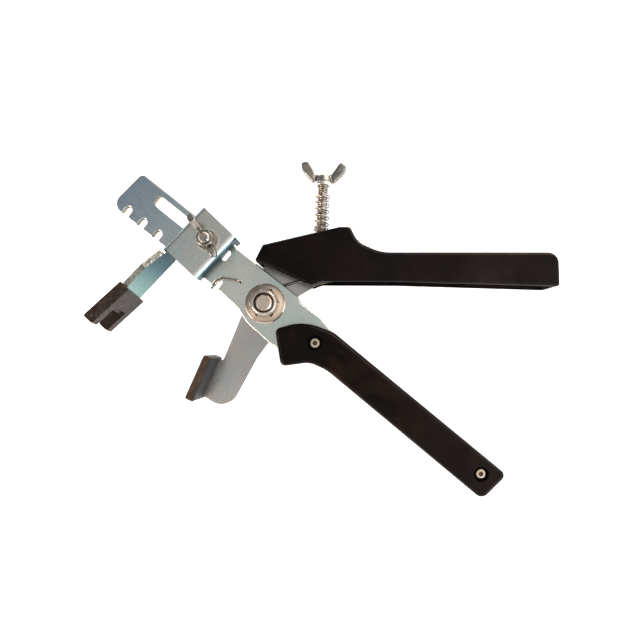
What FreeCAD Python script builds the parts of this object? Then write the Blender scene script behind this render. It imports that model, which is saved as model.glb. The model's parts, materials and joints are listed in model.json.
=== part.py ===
# Adjustable traction pliers for wedge-and-clip tile levelling, lying flat on a table.
# Millimetres.  X runs along the upper handle, Y across the tool, +Z up from the table.
# Everything is first built about the pivot (X = Y = 0) and then moved so that the
# origin is the bottom centre of the whole tool.
import math
import os

import FreeCAD
import Part

Vec = FreeCAD.Vector

# ---- driving dimensions ----------------------------------------------------------
bar_angle = -38.7            # the rack bar and its grip, turned about the pivot
bracket_lean = -5.0          # the bracket and its arm lean outward from the bar
plate_low, plate_high = 15.0, 18.0       # rack bar, 3 mm sheet
lever_low, lever_high = 8.4, 11.4        # lever, 3 mm sheet behind the bar

notch_pitch = 10.8
notch_count = 7
notch_last = -27.9           # notch nearest the pivot, along the bar
notch_width, notch_top, tooth_tip = 4.0, -5.0, -10.6
slot_start, slot_end, slot_y, slot_width = -84.2, -32.3, 7.4, 6.4
slot_corner = 1.4

pivot_radius = 5.0
sleeve_radius = 6.0
running_fit = 0.05           # radial clearance of a turning fit
bolt_head_flats, bolt_head_high = 16.0, 3.55
bolt_tip_low, bolt_tip_high = 24.4, 1.2
back_washer_radius, back_washer_thick = 10.6, 1.2
nut_washer_radius, nut_washer_crown = 11.1, 7.6
nut_flats, nut_low, nut_high = 15.0, 20.4, 24.0
collar_radius, collar_low, collar_high = 6.9, 22.0, 25.2
locking_radius, locking_low, locking_high = 5.85, 23.65, 24.75
thread_fit = 0.08            # radial clearance of an M6 thread

bracket_x, bracket_y = -47.1, 7.3        # centre of the bracket's web, on the bar
bracket_half = 12.5
bracket_sheet = 3.2
bracket_bottom, bracket_top = -19.0, 12.0
web_low, web_high = 24.0, 27.0
arm_low, arm_high = 7.0, 32.0
arm_end = -58.0
clamp_x, clamp_y = 2.6, 0.33             # clamp bolt, from the web's centre

fork_width, fork_length, fork_thick = 30.0, 25.7, 6.3
fork_slot_width, fork_slot_depth = 16.6, 11.6
fork_middle = 19.5
fork_top = -46.8                         # where the shoe starts, along the arm
fork_tilt = 10.0                         # the shoe is turned in the arm's plane, low side outward

pad_centre = (-32.2, -42.5)              # middle of the line where arm and pad meet
pad_angle = 246.0                        # the pad's long direction
pad_thick, pad_back = 4.8, 0.2
pad_low, pad_high = 6.0, 31.0
flange_high = 29.5

m6_radius = 2.95
wing_reach, wing_rise, wing_thick = 13.2, 11.6, 2.6
wing_nut_turn = -58.0
screw_point = (32.3, 66.2)               # under the adjusting screw's head
screw_tilt = -2.8                        # lean of that screw from the Y axis
screw_z = 16.5
screw_length = 50.0
spring_wire, spring_radius, spring_turns, spring_length = 1.0, 3.9, 5, 19.6
return_wire, return_radius = 1.5, 8.0

handle_low, handle_high, handle_wall = 3.6, 25.6, 2.0
handle_screws = ((62.0, 19.6), (140.0, 19.0))
grip_low, grip_split, grip_high = 7.5, 16.5, 25.5
grip_wall = 2.6
grip_rounding = 3.0
grip_screws = ((35.7, 0.3), (151.4, 1.2))
spring_hole = (-18.8, 0.6)               # where the return spring's leg comes up through the bar

# outlines, as (x, y, corner radius); the grip's is in the bar's frame
grip_corners = [(29.0, -21.6, 3.2), (40.0, -10.0, 12), (50.0, -7.4, 26), (161.2, -9.5, 4.5),
                (163.4, 9.7, 3.3), (40.0, 11.4, 12), (23.0, 5.8, 28), (13.6, -7.4, 3.2)]
handle_top = [(161.6, 27.7, 6.0), (64.5, 27.7, 24), (51.6, 33.2, 12), (47.4, 41.7, 2.4),
              (41.6, 41.7, 4), (-0.7, 31.8, 1.6)]
handle_bottom = [(-5.1, 22.9, 1.2), (6.5, 18.3, 20), (22.7, 10.8, 2.5), (26.6, 9.8, 1.2), (31.4, 11.7, 6),
                 (75.0, 11.5, 0), (162.3, 8.9, 1.6)]

nodes = {}


# ---- helpers -----------------------------------------------------------------------
def rounded_face(corners):
    """A flat face whose outline has the given (x, y, radius) corners."""
    count = len(corners)
    spans = []
    for index, (x, y, radius) in enumerate(corners):
        here = Vec(x, y, 0)
        before = Vec(*corners[index - 1][:2], 0)
        after = Vec(*corners[(index + 1) % count][:2], 0)
        if radius <= 0:
            spans.append((here, here, here))
            continue
        to_before = (before - here).normalize()
        to_after = (after - here).normalize()
        half = to_before.getAngle(to_after) / 2
        setback = radius / math.tan(half)
        middle = (to_before + to_after).normalize()
        centre = here + middle * (radius / math.sin(half))
        spans.append((here + to_before * setback, centre - middle * radius, here + to_after * setback))
    edges = []
    for index, (start, middle, end) in enumerate(spans):
        if start.distanceToPoint(end) > 1e-6:
            edges.append(Part.Arc(start, middle, end).toShape())
        following = spans[(index + 1) % count][0]
        if end.distanceToPoint(following) > 1e-6:
            edges.append(Part.LineSegment(end, following).toShape())
    return Part.Face(Part.Wire(edges))


def sheet(corners, low, high):
    """The outline as a plate between two heights."""
    return rounded_face(corners).extrude(Vec(0, 0, high - low)).translated(Vec(0, 0, low))


def rod(radius, x, y, low, high):
    return Part.makeCylinder(radius, high - low, Vec(x, y, low))


def block(x_low, x_high, y_low, y_high, low, high):
    return Part.makeBox(x_high - x_low, y_high - y_low, high - low, Vec(x_low, y_low, low))


def hexagon(across_flats, x, y, low, high):
    reach = across_flats / math.sqrt(3)
    points = [Vec(x + reach * math.cos(math.radians(a)), y + reach * math.sin(math.radians(a)), low)
              for a in range(0, 361, 60)]
    return Part.Face(Part.makePolygon(points)).extrude(Vec(0, 0, high - low))


def turned(shape, angle, x=0.0, y=0.0):
    """Turn a shape about +Z at the pivot, then move it in the plane."""
    copy = shape.copy()
    copy.rotate(Vec(0, 0, 0), Vec(0, 0, 1), angle)
    copy.translate(Vec(x, y, 0))
    return copy


def on_bar(shape):
    return turned(shape, bar_angle)


def bar_point(x, y):
    """A point given along and across the bar, in the model's own X and Y."""
    angle = math.radians(bar_angle)
    return (x * math.cos(angle) - y * math.sin(angle), x * math.sin(angle) + y * math.cos(angle))


def on_bracket(shape):
    """From the bracket's own frame to the model's."""
    return on_bar(turned(shape, bracket_lean, bracket_x, bracket_y))


def eased(shape, radius, wanted):
    """Round the edges that wanted() picks, or bevel them where rounding is not possible."""
    edges = [edge for edge in shape.Edges if wanted(edge)]
    if not edges:
        print("no edge to round")
        return shape
    try:
        result = shape.makeFillet(radius, edges)
        if result.isValid() and result.Volume > 0:
            return result
    except Part.OCCError:
        pass
    try:
        result = shape.makeChamfer(radius * 0.6, edges)
        if result.isValid() and result.Volume > 0:
            return result
    except Part.OCCError:
        pass
    print("edges left sharp:", len(edges))
    return shape


def flat_at(height):
    """Picks the edges that lie wholly at one height."""
    def wanted(edge):
        box = edge.BoundBox
        return abs(box.ZMin - height) < 1e-4 and abs(box.ZMax - height) < 1e-4
    return wanted


def bent_rod(points, radius):
    """Round bar through the points, with ball corners, as one solid."""
    solid = Part.makeSphere(radius, Vec(*points[0]))
    for start, end in zip(points, points[1:]):
        run = Vec(*end) - Vec(*start)
        solid = solid.fuse(Part.makeCylinder(radius, run.Length, Vec(*start), run))
        solid = solid.fuse(Part.makeSphere(radius, Vec(*end)))
    return solid


# ---- the rack bar and its grip -------------------------------------------------------
def body_plate():
    corners = [(-99.6, 13.9, 3), (-102.3, -10.5, 6)]
    for index in range(notch_count):
        middle = notch_last - notch_pitch * (notch_count - 1 - index)
        left, right = middle - notch_width / 2, middle + notch_width / 2
        corners += [(left, tooth_tip, 0.9), (left, notch_top, 1.9),
                    (right, notch_top, 1.9), (right, tooth_tip, 0.9)]
    corners += [(-11.0, -11.6, 12), (-1.5, -14.9, 25), (14.2, -15.8, 10), (25.5, -14.6, 4),
                (36.0, -6.0, 8), (50.0, -4.6, 10), (157.5, -4.0, 3), (157.5, 6.0, 3),
                (48.0, 7.0, 10), (38.0, 11.2, 8), (29.0, 13.2, 6), (15.4, 12.6, 3), (11.4, 14.5, 2)]
    plate = sheet(corners, plate_low, plate_high)
    plate = eased(plate, 0.7, flat_at(plate_high))
    half = slot_width / 2
    slot = [(slot_start, slot_y - half, slot_corner), (slot_end, slot_y - half, slot_corner),
            (slot_end, slot_y + half, slot_corner), (slot_start, slot_y + half, slot_corner)]
    plate = plate.cut(sheet(slot, plate_low - 1, plate_high + 1))
    plate = plate.cut(rod(pivot_radius + 0.05, 0, 0, plate_low - 1, plate_high + 1))
    plate = plate.cut(rod(1.1, *spring_hole, plate_low - 1, plate_high + 1))
    for x, y in grip_screws:
        plate = plate.cut(rod(1.8, x, y, plate_low - 1, plate_high + 1))
    return plate


def grip_shell(low, high, face, inner):
    """One moulded half of the lower grip, hollow, with posts for its screws."""
    shell = sheet(grip_corners, low, high)
    shell = eased(shell, grip_rounding, flat_at(face))
    floor = face - math.copysign(grip_wall, face - inner)
    hollow = rounded_face(grip_corners).makeOffset2D(-grip_wall)
    cavity = hollow.extrude(Vec(0, 0, abs(floor - inner))).translated(Vec(0, 0, min(floor, inner)))
    for x, y in grip_screws:
        cavity = cavity.cut(rod(5.2, x, y, min(floor, inner) - 1, max(floor, inner) + 1))
    for x in range(55, 145, 22):
        cavity = cavity.cut(block(x, x + 2, -30, 30, min(floor, inner) - 1, max(floor, inner) + 1))
    shell = shell.cut(cavity)
    return shell


def grip_shells(plate):
    front = grip_shell(grip_split, grip_high, grip_high, plate_high).cut(plate)
    back = grip_shell(grip_low, grip_split, grip_low, plate_low).cut(plate)
    for x, y in grip_screws:
        front = front.cut(rod(1.8, x, y, grip_low, grip_high + 1))
        front = front.cut(rod(4.2, x, y, 22.4, grip_high + 1))
        back = back.cut(rod(1.8, x, y, grip_low - 1, grip_split + 1))
        back = back.cut(hexagon(7.1, x, y, grip_low - 1, 10.6))
    return front, back


def socket_screw(x, y, seat, end, head_radius, head_height, shank_radius, socket):
    """A button-head screw pointing down from its seat, with a six-sided socket."""
    head = rod(head_radius, x, y, seat, seat + head_height)
    head = eased(head, head_height * 0.45, flat_at(seat + head_height))
    head = head.cut(hexagon(socket, x, y, seat + head_height - 1.1, seat + head_height + 1))
    return head.fuse(rod(shank_radius, x, y, end, seat + 0.01)).removeSplitter()


def make_grip(plate):
    front, back = grip_shells(plate)
    nodes["grip_front_shell"] = on_bar(front)
    nodes["grip_back_shell"] = on_bar(back)
    screws = [socket_screw(x, y, 22.4, 8.2, 2.9, 2.0, 1.65, 2.5) for x, y in grip_screws]
    nuts = [hexagon(7.0, x, y, 8.0, 10.5).cut(rod(1.7, x, y, 7, 11)) for x, y in grip_screws]
    nodes["grip_screws"] = on_bar(Part.Compound(screws))
    nodes["grip_nuts"] = on_bar(Part.Compound(nuts))


# ---- the pivot ------------------------------------------------------------------------
def make_pivot():
    washer_low = lever_low - running_fit - back_washer_thick
    washer_high = washer_low + back_washer_thick
    head_low = washer_low - bolt_head_high
    crown = Part.makeCone(7.6, 12.6, bolt_head_high, Vec(0, 0, head_low))
    head = hexagon(bolt_head_flats, 0, 0, head_low, washer_low).common(crown)
    shank = rod(pivot_radius, 0, 0, washer_low - 1, bolt_tip_low)
    tip = Part.makeCone(pivot_radius, pivot_radius - 1.2, bolt_tip_high, Vec(0, 0, bolt_tip_low))
    nodes["pivot_bolt"] = head.fuse([shank, tip]).removeSplitter()
    ring = rod(back_washer_radius, 0, 0, washer_low, washer_high)
    nodes["pivot_back_washer"] = ring.cut(rod(pivot_radius + 0.1, 0, 0, 0, nut_high))
    sleeve = rod(sleeve_radius, 0, 0, washer_high, plate_low)
    nodes["pivot_sleeve"] = sleeve.cut(rod(pivot_radius + 0.05, 0, 0, 0, nut_high))

    inner = pivot_radius + 0.1
    outline = [(inner, plate_high), (nut_washer_radius, plate_high), (nut_washer_radius, plate_high + 1.1),
               (nut_washer_radius - 0.5, plate_high + 1.6), (nut_washer_crown, nut_low), (inner, nut_low)]
    profile = Part.makePolygon([Vec(x, 0, z) for x, z in outline + outline[:1]])
    nodes["pivot_washer"] = Part.Face(profile).revolve(Vec(0, 0, 0), Vec(0, 0, 1), 360)

    bevel = Part.makeCone(10.4, 7.0, 4.4, Vec(0, 0, nut_low))
    nut = hexagon(nut_flats, 0, 0, nut_low, nut_high).common(bevel)
    collar = eased(rod(collar_radius, 0, 0, collar_low, collar_high), 0.8, flat_at(collar_high))
    bore = rod(pivot_radius + 0.02, 0, 0, 0, collar_high + 1)
    groove = rod(locking_radius + 0.05, 0, 0, locking_low - 0.05, locking_high + 0.05)
    mouth = rod(5.6, 0, 0, nut_high, collar_high + 1)
    nodes["pivot_nut"] = nut.fuse(collar).removeSplitter().cut(bore).cut(groove).cut(mouth)
    ring = rod(locking_radius, 0, 0, locking_low, locking_high).cut(bore)
    nodes["nut_locking_ring"] = ring.cut(Part.makeCone(4.9, 5.6, 0.6, Vec(0, 0, 24.4)))


def make_return_spring():
    """Two coils round the sleeve; one leg goes up through the bar into the last notch."""
    radius = return_wire / 2
    low, high = lever_high + 0.1 + radius, plate_low - 0.1 - radius
    coil = Part.makeTorus(return_radius, radius, Vec(0, 0, low + 0.2))
    coil = coil.fuse(Part.makeTorus(return_radius, radius, Vec(0, 0, high - 0.35)))
    over = plate_high + 0.05 + radius
    hole = bar_point(*spring_hole)
    notch_side = notch_last - notch_width / 2 + radius + 0.15
    over_notch = bar_point(notch_last, notch_top - 1.2)
    in_notch = bar_point(notch_side, notch_top - 3.4)
    leg_end = bar_point(notch_side, tooth_tip - 1.4)
    leave = math.radians(150)
    start = (return_radius * math.cos(leave), return_radius * math.sin(leave), high - 0.35)
    bar_leg = bent_rod([start, (*hole, high - 0.35), (*hole, over), (*over_notch, over),
                        (*in_notch, 16.6), (*leg_end, 16.6)], radius)
    leave = math.radians(60)
    start = (return_radius * math.cos(leave), return_radius * math.sin(leave), low + 0.2)
    lever_leg = bent_rod([start, (18.6, 13.4, low + 0.2), (26.0, 12.6, low + 0.2)], radius)
    nodes["return_spring"] = coil.fuse([bar_leg, lever_leg]).removeSplitter()


# ---- the lever with the rear jaw ----------------------------------------------------------
def pad_place(shape):
    """From the pad's frame (long way, outward, up) to the model's."""
    return turned(shape, pad_angle, *pad_centre)


def lever_plate():
    along = math.radians(pad_angle)
    outward = math.radians(pad_angle - 90)

    def pad_point(t, n):
        return (pad_centre[0] + t * math.cos(along) + n * math.cos(outward),
                pad_centre[1] + t * math.sin(along) + n * math.sin(outward))

    corners = [(*pad_point(-11.4, 3.8), 0), (*pad_point(10.6, 3.8), 0), (*pad_point(10.6, 0), 0),
               (-22.7, -60.9, 9.5), (-6.0, -30.2, 8), (1.5, -20.0, 10), (7.5, -7.5, 10), (17.6, 5.2, 4),
               (28.5, 11.4, 10), (45.0, 15.4, 12), (150.0, 14.5, 3), (150.0, 24.6, 3), (16.0, 24.6, 10),
               (0.9, 27.0, 1.5), (-2.5, 20.6, 2), (-9.0, 8.0, 15), (-14.6, -6.2, 10),
               (-21.3, -22.6, 30), (-24.9, -31.4, 1.6), (*pad_point(-11.4, 0), 0)]
    plate = sheet(corners, lever_low, lever_high)
    flange = block(-11.4, 10.6, -3.8, -0.9, lever_low, flange_high)
    plate = plate.fuse(pad_place(flange)).removeSplitter()
    plate = plate.cut(rod(sleeve_radius + running_fit, 0, 0, 0, 40))
    for x, y in handle_screws:
        plate = plate.cut(rod(2.2, x, y, 0, 40))
    return plate


def jaw_pad(lever):
    """The moulded shoe that covers the lever's flange."""
    shoe = block(-13.4, 12.4, -pad_thick, pad_back, pad_low, pad_high)
    shoe = eased(shoe, 1.2, lambda edge: True)
    return pad_place(shoe).cut(lever)


# ---- the upper handle and its adjusting screw -------------------------------------------------
def upper_handle():
    """A deep channel, open below, with a hump behind the adjusting screw."""
    outer = sheet(handle_bottom + handle_top, handle_low, handle_high)

    def rim(edge):
        box = edge.BoundBox
        side = abs(box.ZMin - box.ZMax) < 1e-4 and (abs(box.ZMin - handle_high) < 1e-4
                                                   or abs(box.ZMin - handle_low) < 1e-4)
        below = box.Center.y < 24.0 and box.Center.x < 159.0
        return side and not below
    outer = eased(outer, 2.2, rim)
    wall = handle_wall + 0.3
    front, tail = handle_bottom[0][0] + wall, handle_top[0][0] - wall
    inside = [(front, -5.0, 0), (tail, -5.0, 0), (tail, handle_top[0][1] - wall, 3)]
    inside += [(x, y - wall, radius) for x, y, radius in handle_top[1:-1]]
    inside += [(handle_top[-1][0] + wall, handle_top[-1][1] - wall, 1.0), (front, 22.0, 0)]
    channel = outer.cut(sheet(inside, handle_low + handle_wall, handle_high - handle_wall))
    for x, y in handle_screws:
        posts = rod(4.2, x, y, handle_low + 1, lever_low - 0.05)
        posts = posts.fuse(rod(4.2, x, y, lever_high + 0.05, handle_high - 1))
        channel = channel.fuse(posts)
        channel = channel.cut(rod(2.1, x, y, handle_low - 1, 21.2))
        channel = channel.cut(rod(3.9, x, y, handle_low - 1, handle_low + 2.4))
    boss = block(24.4, 37.6, 27.0, 36.6, handle_low + 1, handle_high - 1)
    channel = channel.fuse(boss).removeSplitter()
    channel = channel.cut(along_screw(rod(3.5, 0, 0, -60, 0)))
    nut_room = block(-5.15, 5.15, -5.15, 5.15, -60, -33.3)
    return channel.cut(along_screw(nut_room))


def along_screw(shape):
    """From the screw's frame, with its axis up and the head's seat at zero, to the model's."""
    copy = shape.copy()
    copy.rotate(Vec(0, 0, 0), Vec(1, 0, 0), -90)
    copy.rotate(Vec(0, 0, 0), Vec(0, 0, 1), screw_tilt)
    copy.translate(Vec(*screw_point, screw_z))
    return copy


def wings(base):
    """Two rounded ears in the X-Z plane, rising from the given height."""
    ear = [(2.6, 0.2, 0), (5.8, 0.7, 2.5), (10.6, 5.4, 8), (wing_reach, wing_rise - 1.7, 1.3),
           (wing_reach - 3.9, wing_rise, 1.5), (4.5, 4.8, 2.2), (2.6, 4.6, 0)]
    flat = rounded_face(ear).extrude(Vec(0, 0, wing_thick))
    flat.translate(Vec(0, 0, -wing_thick / 2))
    flat = eased(flat, 0.6, lambda edge: abs(edge.BoundBox.ZMin - edge.BoundBox.ZMax) < 1e-4)
    flat.rotate(Vec(0, 0, 0), Vec(1, 0, 0), 90)
    other = flat.copy()
    other.rotate(Vec(0, 0, 0), Vec(0, 0, 1), 180)
    pair = flat.fuse(other)
    pair.translate(Vec(0, 0, base))
    return pair


def make_adjuster():
    head = eased(Part.makeCone(4.7, 4.2, 4.2, Vec(0, 0, 1.55)), 1.6, flat_at(5.75))
    shaft = rod(m6_radius, 0, 0, -screw_length + 1, 1.6)
    tip = Part.makeCone(m6_radius - 0.9, m6_radius, 1.0, Vec(0, 0, -screw_length))
    screw = head.fuse([shaft, tip, wings(1.6)]).removeSplitter()
    nodes["wing_screw"] = along_screw(screw)
    ring = rod(4.8, 0, 0, 0, 1.5).cut(rod(m6_radius + 0.35, 0, 0, -1, 3))
    nodes["adjuster_washer"] = along_screw(eased(ring, 0.25, flat_at(0.0)))
    nut = block(-5.0, 5.0, -5.0, 5.0, -38.4, -33.4).cut(rod(m6_radius + thread_fit, 0, 0, -50, 0))
    nodes["adjuster_nut"] = along_screw(nut)
    helix = Part.makeHelix(spring_length / spring_turns, spring_length, spring_radius)
    helix.translate(Vec(0, 0, -5.4 - spring_length))
    start = Vec(spring_radius, 0, -5.4 - spring_length)
    circle = Part.Wire(Part.makeCircle(spring_wire / 2, start, Vec(0, 1, 0)))
    coil = Part.Wire(helix).makePipeShell([circle], True, True)
    nodes["adjuster_spring"] = along_screw(coil)


def make_handle():
    nodes["upper_handle"] = upper_handle()
    screws = []
    for x, y in handle_screws:
        screw = socket_screw(x, -y, -handle_low - 2.3, -20.6, 3.5, 1.9, 2.0, 2.5)
        screw.rotate(Vec(0, 0, 0), Vec(1, 0, 0), 180)
        screws.append(screw)
    nodes["handle_screws"] = Part.Compound(screws)


# ---- the sliding bracket with the front jaw ------------------------------------------------------
def carriage_bracket():
    half, inner = bracket_half, bracket_half - bracket_sheet
    lug = 8.9
    channel = block(-half, half, bracket_bottom, bracket_top, plate_high + 0.1, web_high)
    channel = eased(channel, 3.0, lambda edge: edge.BoundBox.YLength > 20 and edge.BoundBox.ZMin > web_low)
    hollow = block(-inner, inner, bracket_bottom - 1, bracket_top + 1, plate_high, web_low)
    channel = channel.cut(hollow)
    for left in (-half, inner):
        guide = block(left, left + bracket_sheet, lug, bracket_top, plate_low - 3, plate_high + 0.2)
        guide = eased(guide, 1.4, lambda edge: edge.BoundBox.XLength > 3 and edge.BoundBox.ZMax < plate_low)
        channel = channel.fuse(guide)
    channel = channel.fuse(bracket_arm()).removeSplitter()
    return channel.cut(rod(3.3, clamp_x, clamp_y, 0, 40))


def bracket_arm():
    """The front wall carried down past the bar, deeper where it holds the fork."""
    left = -bracket_half
    profile = [(bracket_bottom + 2.0, web_high - 3.2, 0), (bracket_bottom - 1.5, web_high, 3),
               (-33.5, arm_high, 5), (arm_end, arm_high, 1), (arm_end, arm_low, 1),
               (bracket_bottom - 0.9, arm_low, 3), (bracket_bottom - 0.9, plate_high + 0.1, 0),
               (bracket_bottom + 2.0, plate_high + 0.1, 0)]
    face = rounded_face(profile)
    turn = FreeCAD.Matrix(0, 0, 1, left,
                          1, 0, 0, 0,
                          0, 1, 0, 0,
                          0, 0, 0, 1)
    return face.extrude(Vec(0, 0, bracket_sheet)).transformGeometry(turn)


def fork_shoe():
    """The forked shoe on the arm's end, with a square slot open at its tip."""
    left = -bracket_half - 0.8
    tip = fork_top - fork_length
    low, high = fork_middle - fork_width / 2, fork_middle + fork_width / 2
    shoe = block(left, left + fork_thick, tip, fork_top, low, high)
    shoe = eased(shoe, 1.3, lambda edge: edge.BoundBox.ZLength > 20 and edge.BoundBox.YMax < tip + 1)
    shoe = eased(shoe, 0.5, lambda edge: edge.BoundBox.YMax > tip + 3)
    half = fork_slot_width / 2
    shoe = shoe.cut(block(left - 1, left + 9, tip - 1, tip + fork_slot_depth,
                          fork_middle - half, fork_middle + half))
    shoe = shoe.cut(block(left + fork_thick - 1.6, left + 9, tip, tip + fork_slot_depth + 2.4,
                          fork_middle - half, fork_middle + half))
    shoe.rotate(Vec(left, fork_top, high), Vec(1, 0, 0), -fork_tilt)
    return shoe


def make_carriage():
    bracket = carriage_bracket()
    nodes["carriage_bracket"] = on_bracket(bracket)
    nodes["fork_shoe"] = on_bracket(fork_shoe().cut(bracket))
    x, y = clamp_x, clamp_y
    head = rod(6.8, x, y, 9.8, 12.9)
    head = eased(head, 2.2, flat_at(9.8))
    neck = turned(block(-3.0, 3.0, -3.0, 3.0, 12.8, 17.6), -bracket_lean, x, y)
    tip = Part.makeCone(m6_radius, m6_radius - 0.8, 0.8, Vec(x, y, 34.2))
    bolt = head.fuse([neck, rod(m6_radius, x, y, 12, 34.2), tip]).removeSplitter()
    nodes["clamp_bolt"] = on_bracket(bolt)
    strip = sheet([(-8.5, -7, 2), (8.5, -7, 2), (8.5, 7, 2), (-8.5, 7, 2)], 12.95, 14.9)
    strip = turned(strip, -bracket_lean, x, y)
    opening = turned(block(-3.05, 3.05, -3.05, 3.05, 10, 20), -bracket_lean, x, y)
    nodes["clamp_plate"] = on_bracket(strip.cut(opening))
    washer = rod(6.3, x, y, web_high + 0.05, web_high + 1.2).cut(rod(m6_radius + 0.35, x, y, 0, 50))
    nodes["clamp_washer"] = on_bracket(washer)
    seat = web_high + 1.25
    boss = Part.makeCone(5.2, 4.3, 5.6, Vec(0, 0, seat))
    nut = boss.fuse(wings(seat + 0.1)).removeSplitter().cut(rod(m6_radius + thread_fit, 0, 0, 0, 50))
    nut = turned(nut, wing_nut_turn)
    centre = clamp_centre()
    nut.translate(Vec(centre[0], centre[1], 0))
    nodes["wing_nut"] = nut


def clamp_centre():
    lean = math.radians(bracket_lean)
    x = bracket_x + clamp_x * math.cos(lean) - clamp_y * math.sin(lean)
    y = bracket_y + clamp_x * math.sin(lean) + clamp_y * math.cos(lean)
    return bar_point(x, y)


# ---- the whole tool ----------------------------------------------------------------------------
def main():
    plate = body_plate()
    nodes["body_plate"] = on_bar(plate)
    make_grip(plate)
    make_pivot()
    make_return_spring()
    lever = lever_plate()
    nodes["lever_plate"] = lever
    nodes["jaw_pad"] = jaw_pad(lever)
    make_handle()
    make_adjuster()
    make_carriage()

    box = Part.Compound(list(nodes.values())).BoundBox
    shift = Vec(-box.Center.x, -box.Center.y, -box.ZMin)
    os.makedirs("parts", exist_ok=True)
    for name, shape in nodes.items():
        solids = shape.Solids
        print(name, "solids", len(solids), "valid", shape.isValid(), "volume", round(shape.Volume, 1))
        shape.translated(shift).exportStep(os.path.join("parts", name + ".step"))
    size = [round(v, 2) for v in (box.XLength, box.YLength, box.ZLength)]
    print("size", size, "pivot at", [round(v, 3) for v in shift])
    clamp = clamp_centre()
    print("clamp at", round(clamp[0] + shift.x, 3), round(clamp[1] + shift.y, 3))
    print("screw head seat at", round(screw_point[0] + shift.x, 3), round(screw_point[1] + shift.y, 3),
          round(screw_z + shift.z, 3))


main()
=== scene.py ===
import json
import math

import bmesh
import bpy
from mathutils import Matrix, Vector


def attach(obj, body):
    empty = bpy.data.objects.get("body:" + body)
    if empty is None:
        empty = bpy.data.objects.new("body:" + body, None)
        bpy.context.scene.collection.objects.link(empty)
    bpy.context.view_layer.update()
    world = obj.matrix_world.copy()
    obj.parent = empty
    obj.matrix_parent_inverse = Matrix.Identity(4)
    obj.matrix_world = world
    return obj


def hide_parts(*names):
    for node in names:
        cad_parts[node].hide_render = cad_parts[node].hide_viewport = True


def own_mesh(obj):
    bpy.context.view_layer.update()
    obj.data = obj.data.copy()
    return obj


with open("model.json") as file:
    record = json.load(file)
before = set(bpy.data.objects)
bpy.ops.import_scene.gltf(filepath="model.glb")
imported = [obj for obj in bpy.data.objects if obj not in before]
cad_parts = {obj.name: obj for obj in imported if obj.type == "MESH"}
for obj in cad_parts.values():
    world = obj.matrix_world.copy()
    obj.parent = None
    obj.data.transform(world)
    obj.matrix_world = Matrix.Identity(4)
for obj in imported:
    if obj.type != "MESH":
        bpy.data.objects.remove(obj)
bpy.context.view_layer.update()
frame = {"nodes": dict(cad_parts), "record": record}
joints = {joint["name"]: joint for joint in frame["record"]["behaviour"]["joints"]}
mm = 0.001
print("frame loaded:", len(frame["nodes"]), "nodes")

# places that everything is measured from
pivot = Vector(joints["lever_squeeze"]["pos_m"])
barTip = Vector(joints["carriage_slide"]["axis"])             # along the bar, towards its tip
barSide = Vector((-barTip.y, barTip.x, 0)) * -1               # across the bar, away from the jaws
screwSeat = Vector(joints["adjuster_turn"]["pos_m"])
screwDown = Vector(joints["adjuster_turn"]["axis"])
clampCentre = Vector(joints["wing_nut_turn"]["pos_m"])
frontArm = {"lean": math.radians(-5), "startsAt": 20.0 * mm}
armAlong = Matrix.Rotation(frontArm["lean"], 3, "Z") @ (barSide * -1)      # down the front arm, to the fork
bracketFoot = clampCentre + armAlong * frontArm["startsAt"]                # where the arm leaves the bracket


# small tools
def toLinear(hexColour):
    channels = [int(hexColour[i:i + 2], 16) / 255 for i in (1, 3, 5)]
    return tuple(c / 12.92 if c <= 0.04045 else ((c + 0.055) / 1.055) ** 2.4 for c in channels) + (1.0,)


# settings by name, inputs as links or values, and a ramp's stops; a string is a hex colour
def addNode(tree, kind, inputs=None, stops=(), **settings):
    node = tree.nodes.new(kind)
    for key, value in settings.items():
        setattr(node, key, value)
    for key, value in (inputs or {}).items():
        if isinstance(value, bpy.types.NodeSocket):
            tree.links.new(value, node.inputs[key])
        else:
            node.inputs[key].default_value = toLinear(value) if isinstance(value, str) else value
    for index, (place, shade) in enumerate(stops):
        elements = node.color_ramp.elements
        element = elements[index] if index < 2 else elements.new(place)
        element.position = place
        element.color = toLinear(shade) if isinstance(shade, str) else (shade, shade, shade, 1)
    return node


colourMix = {"data_type": "RGBA"}         # a Mix node on colours: input 0 is the factor, 6 and 7 the colours
multiplied = {"data_type": "RGBA", "blend_type": "MULTIPLY"}


def perMetre(sizeMm):                     # noise scale on object coordinates for a feature this big
    return 1000.0 / sizeMm


# object coordinates turned so that X runs along direction, then scaled per axis
def stretched(tree, coords, direction, factors):
    turn = math.atan2(direction.y, direction.x)
    turned = addNode(tree, "ShaderNodeMapping", {"Vector": coords, "Rotation": (0, 0, -turn)},
                     vector_type="POINT")
    return addNode(tree, "ShaderNodeMapping", {"Vector": turned.outputs[0], "Scale": factors},
                   vector_type="POINT").outputs[0]


# distance from start, measured along direction
def alongFrom(tree, coords, start, direction):
    offset = addNode(tree, "ShaderNodeVectorMath", {0: coords, 1: tuple(start)}, operation="SUBTRACT")
    return addNode(tree, "ShaderNodeVectorMath", {0: offset.outputs[0], 1: tuple(direction)},
                   operation="DOT_PRODUCT").outputs["Value"]


def newMaterial(name):
    material = bpy.data.materials.new(name)
    material.use_nodes = True
    tree = material.node_tree
    shader = tree.nodes["Principled BSDF"]
    coords = addNode(tree, "ShaderNodeTexCoord").outputs["Object"]
    return material, tree, shader, coords


# stacks bump layers of (height socket, strength, depth in mm)
def bumpChain(tree, shader, layers):
    normal = None
    for height, strength, depthMm in layers:
        inputs = {"Height": height, "Strength": strength, "Distance": depthMm * mm}
        if normal is not None:
            inputs["Normal"] = normal
        normal = addNode(tree, "ShaderNodeBump", inputs).outputs["Normal"]
    tree.links.new(normal, shader.inputs["Normal"])


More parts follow.
